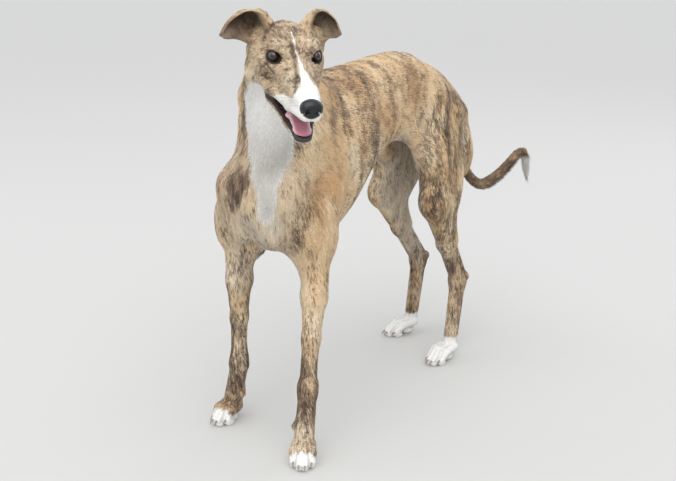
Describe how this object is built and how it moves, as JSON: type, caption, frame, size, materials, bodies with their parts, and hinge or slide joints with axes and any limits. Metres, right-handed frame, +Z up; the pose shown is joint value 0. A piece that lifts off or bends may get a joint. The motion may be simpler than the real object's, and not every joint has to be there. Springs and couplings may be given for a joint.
{
  "type": "life-size greyhound model",
  "caption": "Still, life-size model of a brindle greyhound that stands on all four paws with its head turned to its left and its mouth open.",
  "frame": {"origin": "centre of the bounding box in plan, at the level of the soles", "axes": "-Y the way the dog faces, +X its left side, +Z up"},
  "size_m": [0.434, 1.272, 0.8402],
  "materials": {
    "coat": "short brindle coat, fawn with broken dark stripes",
    "white_coat": "short white coat",
    "ear_coat": "thin dark coat over bare skin",
    "eye": "wet dark brown eye",
    "nose_leather": "damp black nose leather",
    "tongue": "wet pink tongue"
  },
  "bodies": {
    "root": {"chest": "coat", "loin": "coat", "rump": "coat", "neck": "coat", "shoulder_left": "coat", "shoulder_right": "coat", "forearm_left": "coat", "forearm_right": "coat", "forepaw_left": "white_coat", "forepaw_right": "white_coat", "thigh_left": "coat", "thigh_right": "coat", "shank_left": "coat", "shank_right": "coat", "hindpaw_left": "white_coat", "hindpaw_right": "white_coat", "tail_root": "coat", "tail_middle": "coat", "tail_tip": "coat", "skull": "coat", "face": "coat", "muzzle": "white_coat", "lower_jaw": "white_coat", "ear_left": "ear_coat", "ear_right": "ear_coat", "eye_left": "eye", "eye_right": "eye", "nose": "nose_leather", "tongue": "tongue"}
  },
  "joints": []
}
